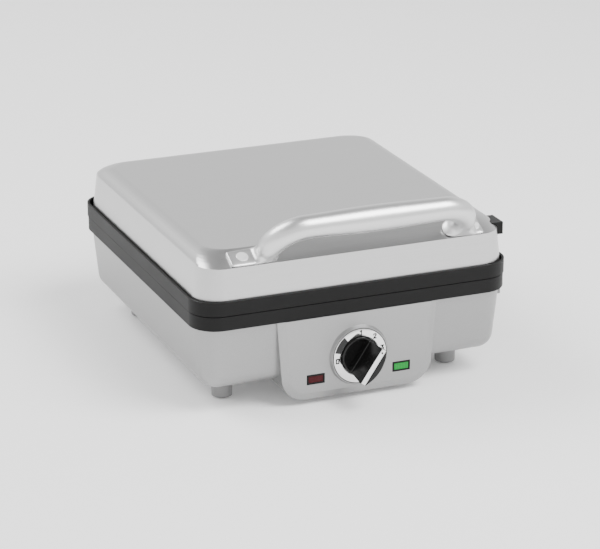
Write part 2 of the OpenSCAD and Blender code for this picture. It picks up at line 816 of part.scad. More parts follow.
module heater_body() {
    bx = heater_x - heater_bend;
    by = heater_y - heater_bend;
    for (s = [-1, 1]) {
        translate([s * heater_x, 0, -heater_z]) bar_y(heater_r, -by, by);
        translate([0, heater_y, -heater_z])
            bar_x(heater_r, min(s * bx, s * heater_leg_x), max(s * bx, s * heater_leg_x));
        translate([s * heater_leg_x, heater_y, -heater_z]) sphere(heater_r);
        translate([s * heater_leg_x, heater_y, -leg_end]) cylinder(r = heater_r, h = leg_end - heater_z);
    }
    translate([0, -heater_y, -heater_z]) bar_x(heater_r, -bx, bx);
    heater_corner(bx, by, 0);
    heater_corner(-bx, by, 90);
    heater_corner(-bx, -by, 180);
    heater_corner(bx, -by, 270);
}

module lower_heater() color([0.35, 0.33, 0.32]) placed() heater_body();
module upper_heater() color([0.35, 0.33, 0.32]) placed() upside() heater_body();

// Saddle that holds the heater to the pan's floor
saddle_t = 1.5;
module heater_saddles() for (sx = [-1, 1], sy = [-1, 1]) translate([sx * heater_x, sy * 40, 0]) difference() {
    box([-heater_r - saddle_t, -4, -pan_far + pan_t], [heater_r + saddle_t, 4, -heater_z]);
    translate([0, 0, -heater_z]) bar_y(heater_r + 0.05, -5, 5);
}

module lower_heater_clips() color([0.7, 0.7, 0.72]) placed() heater_saddles();
module upper_heater_clips() color([0.7, 0.7, 0.72]) placed() upside() heater_saddles();

module bushings_body() leg_places() difference() {
    union() {
        translate([0, 0, -pan_far - bush_h]) cylinder(r = bush_r, h = bush_h);
        translate([0, 0, -pan_far]) cylinder(r = bush_r - 1.6, h = pan_t + 1);
    }
    translate([0, 0, -big / 2]) cylinder(r = heater_r + 0.1, h = big);
}

module lower_bushings() color([0.92, 0.9, 0.85]) placed() bushings_body();
module upper_bushings() color([0.92, 0.9, 0.85]) placed() upside() bushings_body();

// ---- Clips and releases ----

module clips_body() for (s = [-1, 1]) difference() {
    box([-clip_x - clip_l, s * clip_y - clip_w / 2, -clip_pocket],
        [-clip_x, s * clip_y + clip_w / 2, -clip_pocket + clip_t]);
    translate([-clip_x - clip_l + 5, s * clip_y, -big / 2]) cylinder(r = 1.3, h = big);
}

module lower_plate_clips() color([0.75, 0.75, 0.76]) placed() clips_body();
module upper_plate_clips() color([0.75, 0.75, 0.76]) placed() upside() clips_body();

module clip_screws_body() for (s = [-1, 1])
translate([-clip_x - clip_l + 5, s * clip_y, -clip_pocket + clip_t]) {
    cylinder(r = 2.4, h = 0.6);
    translate([0, 0, -5]) cylinder(r = 1.25, h = 5);
}

module lower_clip_screws() color([0.6, 0.6, 0.62]) placed() clip_screws_body();
module upper_clip_screws() color([0.6, 0.6, 0.62]) placed() upside() clip_screws_body();

// Rocking lever: button in front of the pivot, latch behind it
module lever(near, far, face_x, z, h) {
    latch_far_y = -latch_y + latch_w / 2;
    post_out = latch_post_x + latch_post_t;
    difference() {
        union() {
            translate([pivot_x, -pivot_y, -far]) cylinder(r = hub_r, h = far - near);
            box([lever_x, -button_y - button_l / 2, -far], [lever_x + lever_t - 0.4, -pivot_y, -near]);
            box([latch_post_x, -pivot_y, -far], [post_out, latch_far_y, -near]);
        }
        translate([pivot_x, -pivot_y, -big / 2]) cylinder(r = pivot_r + run_fit, h = big);
    }
    box([lever_x, -button_y - button_l / 2, -max(far, z + h / 2)],
        [lever_x + lever_t - 0.8, -button_y + button_l / 2, -near]);
    box([lever_x, -button_y - button_l / 2, -z - h / 2], [face_x, -button_y + button_l / 2, -z + h / 2]);
    box([latch_post_x, -latch_y - latch_w / 2, -far], [post_out, latch_far_y, -latch_face + latch_t]);
    box([latch_x, -latch_y - latch_w / 2, -latch_face], [post_out, latch_far_y, -latch_face + latch_t]);
}

low_face_x = rim_w / 2 - low_button_inset;
up_face_x = rim_w / 2 - up_button_inset;

module lower_release() color([0.62, 0.62, 0.63]) placed()
    lever(low_lever_near, low_lever_far, low_face_x, low_button_z, low_button_h);

module upper_release() color([0.1, 0.1, 0.1]) placed() upside()
    lever(up_lever_near, up_lever_far, up_face_x, up_button_z, up_button_h);

pin_head_r = 2.4;
pin_head_h = 1;

module release_pin(far) translate([pivot_x, -pivot_y, 0]) {
    translate([0, 0, -far - lever_gap]) cylinder(r = pivot_r, h = far + lever_gap - deck_far);
    translate([0, 0, -far - lever_gap - pin_head_h]) cylinder(r = pin_head_r, h = pin_head_h);
}

module lower_release_pin() color([0.7, 0.7, 0.72]) placed() release_pin(low_lever_far);
module upper_release_pin() color([0.7, 0.7, 0.72]) placed() upside() release_pin(up_lever_far);

// Torsion spring around the pivot post, as close rings with one straight leg
spring_r = 3.5;
spring_wire = 0.4;
spring_turns = 3;
spring_pitch = 1;
spring_leg = 14;
module release_spring(near) translate([pivot_x, -pivot_y, -near + 4]) {
    for (i = [0:spring_turns - 1]) translate([0, 0, i * spring_pitch]) rotate_extrude()
        translate([spring_r, 0]) circle(spring_wire, $fn = 24);
    bar_y(spring_wire * 0.8, -spring_leg, -spring_r);
}

module lower_release_spring() color([0.75, 0.75, 0.77]) placed() release_spring(low_lever_near);
module upper_release_spring() color([0.75, 0.75, 0.77]) placed() upside() release_spring(up_lever_near);

// ---- Handle ----

lean_y = -grip_y - (slope_y0 + lug_mid * cos(slope_a) - lug_t * sin(slope_a));
lean_z = grip_z - (slope_z0 + lug_mid * sin(slope_a) + lug_t * cos(slope_a));
leg_a = atan2(-lean_y, lean_z);
leg_l = norm([lean_y, lean_z]) - elbow_r + 4;
// Half length of the grip's even middle
grip_flat = 16;
lug_corner_r = 6.5;

module handle() color([0.8, 0.8, 0.81]) placed() difference() {
    union() {
        translate([grip_off, -grip_y, grip_z]) rotate([leg_a, 0, 0]) {
            rotate([0, 90, 0]) rotate_extrude() polygon([
                [0, -grip_half], [elbow_bar_r, -grip_half], [grip_r, -grip_flat],
                [grip_r, grip_flat], [elbow_bar_r, grip_half], [0, grip_half]
            ]);
            for (s = [0, 1]) mirror([s, 0, 0]) translate([grip_half, 0, -elbow_r]) {
                rotate([90, 0, 0]) rotate_extrude(angle = 90) translate([elbow_r, 0]) circle(elbow_bar_r);
                translate([elbow_r, 0, -leg_l]) cylinder(r1 = leg_foot_r, r2 = elbow_bar_r, h = leg_l);
            }
        }
        for (s = [-1, 1]) on_slope(lug_off + s * (lug_in + lug_out) / 2)
            slab(lug_out - lug_in, lug_w, lug_corner_r, 0, lug_t);
    }
    lid_form(0);
    rivet_holes();
    // flat seats around the rivets' heads
    rivets_at() translate([0, 0, lug_t]) cylinder(r = rivet_r + rivet_seat_gap, h = 2);
}

rivet_seat_gap = 0.3;
rivet_head_h = 0.6;
washer_t = 1.2;
washer_r = 5.2;
// Thickness of the lid's sheet square to the slope
slope_t = lid_t * (sin(slope_a) + cos(slope_a));

module rivets_at() for (s = [-1, 1]) on_slope(rivet_off + s * rivet_x) children();

module handle_rivets() color([0.85, 0.85, 0.86]) placed() rivets_at() {
    translate([0, 0, lug_t]) cylinder(r = rivet_r, h = rivet_head_h);
    translate([0, 0, -slope_t - washer_t]) cylinder(r = rivet_shank_r, h = slope_t + washer_t + lug_t);
    translate([0, 0, -slope_t - 2 * washer_t]) cylinder(r = rivet_r - 1, h = washer_t);
}

module rivet_washers() color([0.7, 0.7, 0.72]) placed() rivets_at() difference() {
    translate([0, 0, -slope_t - washer_t]) cylinder(r = washer_r, h = washer_t);
    translate([0, 0, -10]) cylinder(r = rivet_shank_r + run_fit, h = 12);
}

// ---- Hinge ----

module hinge_places() for (s = [-1, 1]) translate([s * hinge_x, hinge_y, 0]) children();

leaf_half = lid_knuckle_w / 2 + knuckle_side_gap + base_knuckle_w;
leaf_in = -knuckle_gap - knuckle_r;
leaf_near = knuckle_r + 1;
arm_near = 2;

module base_hinge_leaves() color([0.16, 0.16, 0.17]) placed() hinge_places() difference() {
    union() {
        box([-leaf_half, leaf_in - rim_step, -rim_h], [leaf_half, leaf_in + leaf_t, -leaf_near]);
        for (s = [0, 1]) mirror([s, 0, 0]) {
            x0 = lid_knuckle_w / 2 + knuckle_side_gap;
            bar_x(knuckle_r, x0, leaf_half);
            box([x0, leaf_in - rim_step, -rim_h], [leaf_half, 1, -arm_near]);
        }
    }
    bar_x(pin_r, -big, big);
}

module lid_hinge_leaves() color([0.16, 0.16, 0.17]) placed() hinge_places() difference() {
    union() {
        box([-leaf_half, leaf_in, leaf_near], [leaf_half, leaf_in + leaf_t, rim_h]);
        bar_x(knuckle_r, -lid_knuckle_w / 2, lid_knuckle_w / 2);
        box([-lid_knuckle_w / 2, leaf_in, arm_near], [lid_knuckle_w / 2, 1, rim_h]);
    }
    bar_x(pin_r + run_fit, -big, big);
}

module hinge_pins() color([0.75, 0.75, 0.76]) placed() hinge_places()
    bar_x(pin_r, -leaf_half - 1, leaf_half + 1);

leaf_screw_r = 1.8;
module leaf_screws(x, z) hinge_places() for (s = [-1, 1])
    translate([s * x, leaf_in + leaf_t, z]) bar_y(leaf_screw_r, 0, 0.9);

// The lid's screws are outside its knuckle, the base's between its two knuckles
module lid_hinge_screws() color([0.6, 0.6, 0.62]) placed()
    leaf_screws(leaf_half - 5, (leaf_near + rim_h) / 2);
module base_hinge_screws() color([0.6, 0.6, 0.62]) placed()
    leaf_screws(5, -(leaf_near + rim_h) / 2);

// ---- Wiring ----

gland_out = 7;
gland_in = 9;
wall_y = rim_d / 2 - base_wall_inset(gland_z);

module cord_gland() color([0.12, 0.12, 0.12]) placed() translate([gland_x, wall_y, -gland_z]) difference() {
    union() {
        bar_y(gland_r - 2.1, -gland_in, gland_out);
        bar_y(gland_r, 0.8, gland_out);
    }
    bar_y(gland_hole_r, -gland_in - 1, gland_out + 1);
}

floor_z = -base_depth + base_t;

module terminal_block() color([0.9, 0.88, 0.8]) placed() difference() {
    box([60, 103, floor_z], [92, 117, floor_z + 14]);
    for (i = [0:2]) translate([66 + i * 10, 110, floor_z + 6]) cylinder(r = 2, h = 10);
}

module thermal_fuse() color([0.8, 0.78, 0.6]) placed() translate([40, 0, -pan_far - 3])
    bar_y(3, -14, 14);

base_housing();
base_rim();
base_cover();
cover_screws();
feet();
foot_pads();
control_panel();
dial_ring();
lamp_frames();
lamp_lens_red();
lamp_lens_green();
lamp_bulbs();
thermostat();
thermostat_shaft();
knob();
knob_inlay();
lower_plate();
lower_pan();
lower_heater();
lower_heater_clips();
lower_bushings();
lower_plate_clips();
lower_clip_screws();
lower_release();
lower_release_pin();
lower_release_spring();
terminal_block();
thermal_fuse();
cord_gland();
base_hinge_leaves();
hinge_pins();
base_hinge_screws();
lid_cover();
lid_rim();
handle();
handle_rivets();
rivet_washers();
upper_plate();
upper_pan();
upper_heater();
upper_heater_clips();
upper_bushings();
upper_plate_clips();
upper_clip_screws();
upper_release();
upper_release_pin();
upper_release_spring();
lid_hinge_leaves();
lid_hinge_screws();
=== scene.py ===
import math

import bmesh
import bpy
from mathutils import Matrix, Vector


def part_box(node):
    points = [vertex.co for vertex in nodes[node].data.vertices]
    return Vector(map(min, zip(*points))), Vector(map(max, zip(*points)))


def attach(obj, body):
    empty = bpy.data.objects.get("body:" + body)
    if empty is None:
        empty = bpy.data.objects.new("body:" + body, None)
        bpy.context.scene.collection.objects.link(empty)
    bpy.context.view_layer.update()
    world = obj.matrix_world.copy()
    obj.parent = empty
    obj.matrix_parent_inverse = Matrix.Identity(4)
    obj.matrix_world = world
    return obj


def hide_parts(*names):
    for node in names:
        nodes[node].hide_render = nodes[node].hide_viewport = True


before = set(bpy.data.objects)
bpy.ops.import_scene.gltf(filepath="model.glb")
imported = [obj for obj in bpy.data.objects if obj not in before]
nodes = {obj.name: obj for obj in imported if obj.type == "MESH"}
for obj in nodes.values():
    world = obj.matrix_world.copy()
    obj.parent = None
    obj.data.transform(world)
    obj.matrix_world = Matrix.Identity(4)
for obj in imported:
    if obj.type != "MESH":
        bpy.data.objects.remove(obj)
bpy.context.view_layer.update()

# Shapes are drawn in millimetres from the middle of the rims, with z = 0 at the
# parting plane, and TO_TABLE puts them in the row's frame. HALF_GAP is in metres: from
# the lower rim's face to the parting plane.
HALF_GAP = 0.0004
LOWER_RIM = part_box("base_rim")
MID_Y = (LOWER_RIM[0].y + LOWER_RIM[1].y) / 2
PARTING_Z = LOWER_RIM[1].z + HALF_GAP
TO_TABLE = Matrix.Translation((0, MID_Y, PARTING_Z)) @ Matrix.Scale(0.001, 4)


def size_of(name):
    """Lowest and highest corner of a CAD node, in the drawing's millimetres."""
    back = TO_TABLE.inverted()
    low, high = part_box(name)
    return back @ low, back @ high


# ---------------------------------------------------------------- camera

VIEW_TURN = math.radians(22.52)
VIEW_DIP = math.radians(19.95)
VIEW_ROLL = math.radians(0.05)
VIEW_FROM = (-792.2, -1935.1, 728.5)
VIEW_LENS = 153.72


def add_camera():
    turn, dip = VIEW_TURN, VIEW_DIP
    right = Vector((math.cos(turn), -math.sin(turn), 0))
    back = Vector((-math.sin(turn) * math.cos(dip), -math.cos(turn) * math.cos(dip), math.sin(dip)))
    upward = back.cross(right)
    facing = Matrix((right, upward, back)).transposed().to_4x4()
    lens = bpy.data.cameras.new("view")
    lens.lens = VIEW_LENS
    lens.sensor_width = 36
    lens.clip_end = 100
    camera = bpy.data.objects.new("view", lens)
    place = TO_TABLE @ Vector(VIEW_FROM)
    camera.matrix_world = Matrix.Translation(place) @ facing @ Matrix.Rotation(VIEW_ROLL, 4, "Z")
    bpy.context.scene.collection.objects.link(camera)
    bpy.context.scene.camera = camera


add_camera()


# ---------------------------------------------------------------- finishes


class Value:
    """A node's socket that can stand in a sum."""

    def __init__(self, finish, socket):
        self.finish = finish
        self.socket = socket

    def _sum(self, operation, first, second):
        return self.finish.add("ShaderNodeMath", {"operation": operation}, first, second)

    def __add__(self, other):
        return self._sum("ADD", self, other)

    def __radd__(self, other):
        return self._sum("ADD", other, self)

    def __sub__(self, other):
        return self._sum("SUBTRACT", self, other)

    def __rsub__(self, other):
        return self._sum("SUBTRACT", other, self)

    def __mul__(self, other):
        return self._sum("MULTIPLY", self, other)

    def __rmul__(self, other):
        return self._sum("MULTIPLY", other, self)


class Finish:
    """A material built up from one surface shader, with what varies linked in."""

    def __init__(self, name, **uniform):
        self.material = bpy.data.materials.new(name)
        self.material.use_nodes = True
        self.tree = self.material.node_tree
        self.tree.nodes.clear()
        self.skin = self.tree.nodes.new("ShaderNodeBsdfPrincipled")
        output = self.tree.nodes.new("ShaderNodeOutputMaterial")
        self.tree.links.new(self.skin.outputs[0], output.inputs["Surface"])
        for socket, value in uniform.items():
            self.skin.inputs[socket.replace("_", " ")].default_value = value
        self.place = self.add("ShaderNodeTexCoord", {}, out="Object")

    def add(self, kind, settings, *values, out=0, **sockets):
        node = self.tree.nodes.new(kind)
        for key, value in settings.items():
            setattr(node, key, value)
        for number, value in enumerate(values):
            self.feed(node.inputs[number], value)
        for key, value in sockets.items():
            self.feed(node.inputs[key.replace("_", " ")], value)
        return Value(self, node.outputs[out])

    def feed(self, socket, value):
        if isinstance(value, Value):
            self.tree.links.new(value.socket, socket)
        else:
            socket.default_value = value

    def link(self, **sockets):
        for key, value in sockets.items():
            self.feed(self.skin.inputs[key.replace("_", " ")], value)
        return self

    def stretched(self, along):
        """Coordinates squeezed or drawn out along each axis."""
        return self.add("ShaderNodeMapping", {}, Vector=self.place, Scale=along)

    def mottle(self, fineness, detail=3.0, along=(1, 1, 1)):
        """Soft random patches between 0 and 1; fineness is how many fit in a metre."""
        where = self.stretched(along)
        return self.add("ShaderNodeTexNoise", {}, out="Fac", Vector=where, Scale=fineness, Detail=detail)

    def between(self, mask, low, high):
        """low where the mask is 0 and high where it is 1."""
        return mask * (high - low) + low

    def tint(self, mask, first, second):
        node = self.tree.nodes.new("ShaderNodeMix")
        node.data_type = "RGBA"
        self.feed(node.inputs[0], mask)
        self.feed(node.inputs[6], first)
        self.feed(node.inputs[7], second)
        return Value(self, node.outputs[2])

    def contrast(self, mask, low, high):
        """Spreads the part of a mask from low to high over 0 to 1."""
        return self.add(
            "ShaderNodeMapRange", {"clamp": True}, mask, low, high, 0.0, 1.0, out=0
        )

    def relief(self, height, depth, strength=1.0):
        """Surface relief; depth is in metres."""
        bump = self.add("ShaderNodeBump", {}, Strength=strength, Distance=depth, Height=height)
        return self.link(Normal=bump)


def grey(value, warm=0.0):
    return (value * (1 + warm), value, value * (1 - warm), 1)


def brushed_steel(name, shade, gloss, grain, across):
    """Sheet steel with a fine straight grain; across is where the grain lines crowd."""
    f = Finish(name, Metallic=1.0)
    streaks = f.mottle(1.0, 4.0, across)
    cloud = f.mottle(9.0, 2.0)
    lines = f.contrast(streaks, 0.3, 0.7)
    worn = f.between(cloud, 0.3, 0.7) * lines
    f.link(Base_Color=f.tint(worn, grey(shade * 0.95), grey(shade * 1.07)))
    f.link(Roughness=f.between(streaks, gloss - 0.05, gloss + 0.06) + f.between(cloud, -0.015, 0.015))
    f.relief(streaks, grain)
    return f.material


def silver_lacquer(name, shade, gloss):
    """Silver paint with fine flakes under a soft clear coat."""
    f = Finish(name, Metallic=0.75, Coat_Weight=0.15, Coat_Roughness=0.25)
    flakes = f.mottle(2600.0, 1.0)
    cloud = f.mottle(7.0, 2.0)
    base = f.tint(f.contrast(flakes, 0.35, 0.65), grey(shade * 0.93), grey(shade * 1.05))
    f.link(Base_Color=f.tint(f.between(cloud, 0.0, 0.12), base, grey(shade * 0.85)))
    f.link(Roughness=f.between(flakes, gloss - 0.04, gloss + 0.04))
    f.relief(f.mottle(900.0, 3.0), 0.000012)
    return f.material


def moulded(name, shade, gloss, texture=0.00003, fineness=1400.0, warm=0.0, shine=0.5):
    """Moulded plastic or rubber with a fine spark texture and faint handling marks."""
    f = Finish(name, Specular_IOR_Level=shine)
    spark = f.mottle(fineness, 3.0)
    marks = f.mottle(30.0, 4.0)
    f.link(Base_Color=f.tint(f.contrast(marks, 0.3, 0.75), grey(shade, warm), grey(shade * 1.18, warm)))
    f.link(Roughness=f.between(spark, gloss - 0.04, gloss + 0.05) + f.between(marks, -0.03, 0.03))
    f.relief(spark, texture)
    return f.material


def bright_plating(name, shade, gloss, texture=0.000004):
    """Chrome or nickel plating with faint polishing marks."""
    f = Finish(name, Metallic=1.0)
    polish = f.mottle(400.0, 3.0, (1, 5, 1))
    f.link(Base_Color=f.tint(polish, grey(shade), grey(shade * 1.05)))
    f.link(Roughness=f.between(polish, gloss * 0.8, gloss * 1.25))
    f.relief(polish, texture)
    return f.material


def grid_coating():
    """Dark non-stick coating on cast grids, with a speckle and faint baking marks."""
    f = Finish("grid coating", Coat_Weight=0.25, Coat_Roughness=0.3)
    speck = f.contrast(f.mottle(1800.0, 2.0), 0.62, 0.72)
    stains = f.contrast(f.mottle(35.0, 5.0), 0.45, 0.75)
    base = f.tint(speck, grey(0.028), grey(0.09))
    f.link(Base_Color=f.tint(f.between(stains, 0.0, 0.35), base, grey(0.045, 0.2)))
    f.link(Roughness=f.between(stains, 0.42, 0.55))
    f.relief(f.mottle(700.0, 4.0), 0.00004)
    return f.material


def heat_tinted_tube():
    """Heater sheath, browned by heat in soft bands."""
    f = Finish("heater sheath", Metallic=0.6)
    scale = f.contrast(f.mottle(60.0, 4.0), 0.35, 0.7)
    f.link(Base_Color=f.tint(scale, grey(0.09, 0.1), (0.16, 0.1, 0.06, 1)))
    f.link(Roughness=f.between(scale, 0.45, 0.65))
    f.relief(f.mottle(1500.0, 3.0), 0.00003)
    return f.material


def lamp_plastic(name, colour, deep, glow):
    """Coloured lens over a ribbed back, which shows as darker lines, with a faint glow."""
    f = Finish(name, Specular_IOR_Level=0.2, Emission_Strength=glow)
    ribs = f.add("ShaderNodeTexWave", {"bands_direction": "X"}, out="Fac", Vector=f.place, Scale=220.0)
    colours = f.tint(f.between(ribs, 0.1, 0.5), colour, deep)
    f.link(Base_Color=colours, Emission_Color=colours)
    f.link(Roughness=f.between(f.mottle(300.0), 0.15, 0.25))
    f.relief(ribs, 0.00004)
    return f.material


def cast_metal(name, shade, gloss):
    """Cast handle, satin polished, with shallow waves left from polishing."""
    f = Finish(name, Metallic=1.0)
    waves = f.mottle(45.0, 2.0, (0.4, 1, 1))
    fine = f.mottle(1800.0, 2.0, (0.1, 1, 1))
    f.link(Base_Color=f.tint(waves, grey(shade), grey(shade * 1.05)))
    f.link(Roughness=f.between(fine, gloss - 0.03, gloss + 0.05))
    f.relief(fine, 0.000006)
    return f.material


LID_STEEL = brushed_steel("lid steel", 0.54, 0.3, 0.000006, (25, 1500, 1500))
BASE_SILVER = silver_lacquer("base silver", 0.32, 0.38)
PANEL_SILVER = silver_lacquer("panel silver", 0.33, 0.36)
RIM_DARK = moulded("rim dark plastic", 0.006, 0.5, shine=0.16)
KNOB_BLACK = moulded("knob black", 0.004, 0.2, 0.000004, 300.0, shine=0.25)
CHROME = bright_plating("chrome", 0.8, 0.08)
ZINC = bright_plating("zinc plate", 0.5, 0.32, 0.00001)
HANDLE_METAL = cast_metal("handle metal", 0.66, 0.34)
RIVET_METAL = bright_plating("rivet metal", 0.9, 0.5)
BLACK_PLASTIC = moulded("black plastic", 0.005, 0.4, shine=0.15)
GREY_PLASTIC = moulded("grey plastic", 0.2, 0.45)
DIGIT_INK = moulded("digit ink", 0.006, 0.6, shine=0.1)
# Painted reflection: the colour of the dark band laid on the dial ring, standing for a dark sector
# reflected in its chrome
PAINTED_REFLECTION = moulded("painted reflection band", 0.03, 0.5, shine=0.2)
PAD_RUBBER = moulded("pad rubber", 0.02, 0.75, 0.00008, 900.0)
COVER_STEEL = brushed_steel("cover steel", 0.4, 0.42, 0.00001, (700, 60, 700))
PAN_STEEL = brushed_steel("pan steel", 0.6, 0.35, 0.00001, (60, 900, 900))
CERAMIC = moulded("ceramic", 0.7, 0.55, 0.00004, 800.0, warm=0.04)
BULB = moulded("bulb glass", 0.45, 0.15, 0.000005, 300.0, warm=0.4)
GRID_COATING = grid_coating()
HEATER = heat_tinted_tube()
LAMP_RED = lamp_plastic("lamp red", (0.05, 0.002, 0.004, 1), (0.022, 0.001, 0.002, 1), 0.08)
LAMP_GREEN = lamp_plastic("lamp green", (0.005, 0.24, 0.035, 1), (0.003, 0.12, 0.015, 1), 0.35)


# ---------------------------------------------------------------- making pieces


def as_piece(name, mesh, body, finish, stands_for=(), sharp=35):
    """Puts a finished mesh, already in the row's frame, on its body."""
    mesh.materials.clear()
    mesh.materials.append(finish)
    mesh.shade_smooth()
    mesh.set_sharp_from_angle(angle=math.radians(sharp))
    piece = bpy.data.objects.new(name, mesh)
    bpy.context.scene.collection.objects.link(piece)
    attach(piece, body)
    if stands_for:
        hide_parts(*stands_for)
    return piece


def mesh_of(name, bm):
    """Closes a drawing in millimetres into a mesh in the row's frame."""
    bmesh.ops.remove_doubles(bm, verts=bm.verts[:], dist=0.001)
    bmesh.ops.recalc_face_normals(bm, faces=bm.faces[:])
    bm.transform(TO_TABLE)
    mesh = bpy.data.meshes.new(name)
    bm.to_mesh(mesh)
    bm.free()
    return mesh


def drawing_of(node):
    """A joined-up copy of a CAD node, in the drawing's millimetres."""
    bm = bmesh.new()
    bm.from_mesh(nodes[node].data)
    bm.transform(TO_TABLE.inverted())
    bmesh.ops.remove_doubles(bm, verts=bm.verts[:], dist=0.002)
    bmesh.ops.dissolve_limit(
        bm, angle_limit=math.radians(0.4), use_dissolve_boundaries=False,
        verts=bm.verts[:], edges=bm.edges[:],
    )
    return bm


def soften(bm, edges, offset, segments=3):
    bmesh.ops.bevel(
        bm, geom=edges, offset=offset, offset_type="OFFSET", segments=segments,
        profile=0.5, affect="EDGES", clamp_overlap=True, material=-1,
    )


def weigh_normals(piece):
    weigh = piece.modifiers.new("weigh", "WEIGHTED_NORMAL")
    weigh.keep_sharp = True
    return piece


def eased(node, body, finish, width, segments=2, angle=40):
    """A CAD node with its sharp edges eased, in place of the node."""
    bm = drawing_of(node)
    mesh = mesh_of(node + "_eased", bm)
    piece = as_piece(node + "_eased", mesh, body, finish, (node,))
    ease = piece.modifiers.new("ease", "BEVEL")
    ease.width = width / 1000
    ease.segments = segments
    ease.limit_method = "ANGLE"
    ease.angle_limit = math.radians(angle)
    ease.harden_normals = False
    return weigh_normals(piece)


def cut_out(mesh, cutter_bm, name):
    """Cuts a drawing's shape out of a mesh, and returns the new mesh."""
    target = bpy.data.objects.new(name + "_blank", mesh)
    cutter = bpy.data.objects.new(name + "_cutter", mesh_of(name + "_cutter", cutter_bm))
    for made in (target, cutter):
        bpy.context.scene.collection.objects.link(made)
    cut = target.modifiers.new("cut", "BOOLEAN")
    cut.operation = "DIFFERENCE"
    cut.solver = "EXACT"
    cut.object = cutter
    seen = target.evaluated_get(bpy.context.evaluated_depsgraph_get())
    result = bpy.data.meshes.new_from_object(seen)
    result.name = name
    for made in (target, cutter):
        bpy.data.objects.remove(made)
    return result


def loft(bm, rings):
    """Joins rings of points, each with the same count, into a closed skin."""
    laid = [[bm.verts.new(point) for point in ring] for ring in rings]
    count = len(laid[0])
    for first, second in zip(laid, laid[1:]):
        for i in range(count):
            j = (i + 1) % count
            bm.faces.new((first[i], first[j], second[j], second[i]))
    bm.faces.new(laid[0])
    bm.faces.new(laid[-1])


def block(bm, low, high):
    """A rectangular block from its low corner to its high corner."""
    low, high = Vector(low), Vector(high)
    made = bmesh.ops.create_cube(bm, size=1)["verts"]
    bmesh.ops.scale(bm, verts=made, vec=high - low)
    bmesh.ops.translate(bm, verts=made, vec=(high + low) / 2)
    return made


# ---------------------------------------------------------------- lid cover

RIM_HALF_W, RIM_HALF_D = 140.0, 150.75
SEAT_Z, CREASE_Z, TOP_Z = 3.4, 39.0, 48.5
SEAT_INSET = 2.3
SIDE_LEAN, FRONT_LEAN, BACK_LEAN = 4.4, 1.2, 4.8
SIDE_RUN, FRONT_RUN, BACK_RUN = 15.4, 19.2, 24.3
CORNER_R = 20.0
TOP_CORNER_IN = 16.0
SHEET_T = 1.2
FOLD_SOFT, RIDGE_SOFT = 1.6, 0.9
# The opening for the upper release button: from and to along X and Z, and its length
WINDOW_X, WINDOW_Z, WINDOW_L = (126, 160), (30.75, 43.25), 21


def shoulder_inset(run, z):
    """How far a round shoulder has come in at a height above the crease."""
    drop = TOP_Z - CREASE_Z
    radius = (run * run + drop * drop) / (2 * drop)
    down = radius - (TOP_Z - z)
    return run - math.sqrt(max(radius * radius - down * down, 0))


def lid_side(z):
    lean = min((z - SEAT_Z) / (CREASE_Z - SEAT_Z), 1)
    x = RIM_HALF_W - SEAT_INSET - SIDE_LEAN * lean
    return x if z <= CREASE_Z else x - shoulder_inset(SIDE_RUN, z)


def lid_back(z):
    lean = min((z - SEAT_Z) / (CREASE_Z - SEAT_Z), 1)
    y = RIM_HALF_D - SEAT_INSET - BACK_LEAN * lean
    return y if z <= CREASE_Z else y - shoulder_inset(BACK_RUN, z)


def lid_front(z):
    lean = min((z - SEAT_Z) / (CREASE_Z - SEAT_Z), 1)
    y = RIM_HALF_D - SEAT_INSET - FRONT_LEAN * lean
    return y if z <= CREASE_Z else y - FRONT_RUN * (z - CREASE_Z) / (TOP_Z - CREASE_Z)


def rounded_face(bm, steps):
    """A square face with round corners, each vertex knowing its corner and its angle."""
    bmesh.ops.create_grid(bm, x_segments=1, y_segments=1, size=1)
    bmesh.ops.bevel(
        bm, geom=bm.verts[:], offset=0.5, offset_type="OFFSET", segments=steps,
        profile=0.5, affect="VERTICES", material=-1,
    )
    turn = bm.verts.layers.float.new("turn")
    for v in bm.verts:
        v[turn] = math.atan2(max(abs(v.co.y) - 0.5, 0), max(abs(v.co.x) - 0.5, 0))
    return turn


def lid_level(verts, turn, z):
    """Lays one ring of the lid's outline at a height."""
    drawn_in = TOP_CORNER_IN * max((z - CREASE_Z) / (TOP_Z - CREASE_Z), 0) ** 1.5
    corner_x = lid_side(CREASE_Z) - CORNER_R - drawn_in
    corner_back = lid_back(CREASE_Z) - max(CORNER_R, BACK_RUN + 2) - drawn_in / 2
    corner_front = lid_front(CREASE_Z) - CORNER_R - 1.5 - drawn_in
    for v in verts:
        sx = 1 if v.co.x > 0 else -1
        rear = v.co.y > 0
        middle = corner_back if rear else corner_front
        reach = (lid_back(z) if rear else lid_front(z)) - middle
        a = v[turn]
        x = corner_x + (lid_side(z) - corner_x) * math.cos(a)
        y = middle + reach * math.sin(a)
        v.co = (sx * x, y if rear else -y, z)


